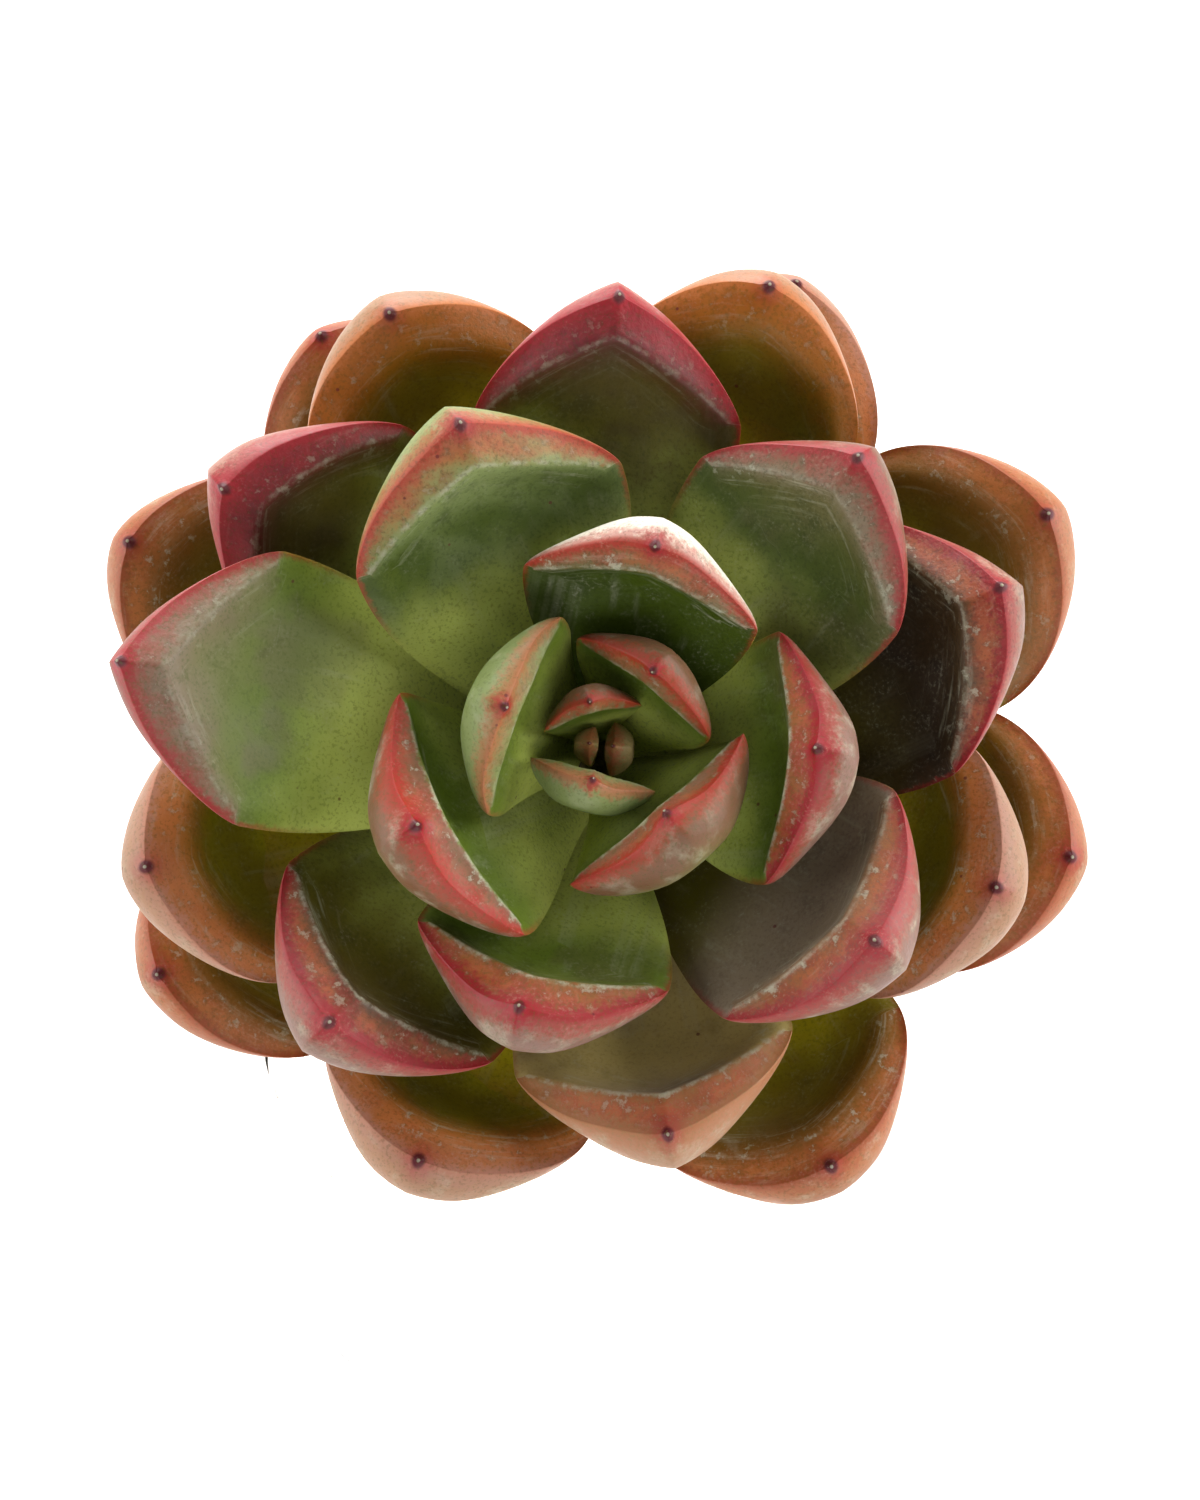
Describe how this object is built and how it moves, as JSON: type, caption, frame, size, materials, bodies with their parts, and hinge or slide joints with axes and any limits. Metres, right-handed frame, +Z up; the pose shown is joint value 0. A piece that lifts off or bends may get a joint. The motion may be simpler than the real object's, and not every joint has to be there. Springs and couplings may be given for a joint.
{
  "type": "potted succulent",
  "caption": "Echeveria rosette of thick, dark-tipped green and orange leaves, leaning forward on a short stem in a white glazed bowl of potting soil and pale grit.",
  "frame": {"origin": "middle of the pot's foot, on the surface it stands on", "axes": "+Z up; -Y is the front, towards which the rosette leans; +X is to the right seen from the front"},
  "size_m": [0.1077, 0.0991, 0.1168],
  "materials": {
    "white_glaze": "gloss",
    "potting_soil": "matte",
    "pale_grit": "matte",
    "stem_bark": "matte",
    "young_leaf": "satin",
    "grown_leaf": "satin",
    "old_leaf": "satin"
  },
  "bodies": {
    "root": {"pot": "white_glaze", "soil": "potting_soil", "grit": "pale_grit", "stem": "stem_bark", "leaf_01": "young_leaf", "leaf_02": "young_leaf", "leaf_03": "young_leaf", "leaf_04": "young_leaf", "leaf_05": "young_leaf", "leaf_06": "young_leaf", "leaf_07": "young_leaf", "leaf_08": "young_leaf", "leaf_09": "young_leaf", "leaf_10": "young_leaf", "leaf_11": "grown_leaf", "leaf_12": "grown_leaf", "leaf_13": "grown_leaf", "leaf_14": "grown_leaf", "leaf_15": "grown_leaf", "leaf_16": "grown_leaf", "leaf_17": "grown_leaf", "leaf_18": "grown_leaf", "leaf_19": "grown_leaf", "leaf_20": "grown_leaf", "leaf_21": "old_leaf", "leaf_22": "old_leaf", "leaf_23": "old_leaf", "leaf_24": "old_leaf", "leaf_25": "old_leaf", "leaf_26": "old_leaf", "leaf_27": "old_leaf", "leaf_28": "old_leaf", "leaf_29": "old_leaf", "leaf_30": "old_leaf", "leaf_31": "old_leaf", "leaf_32": "old_leaf"}
  },
  "joints": []
}
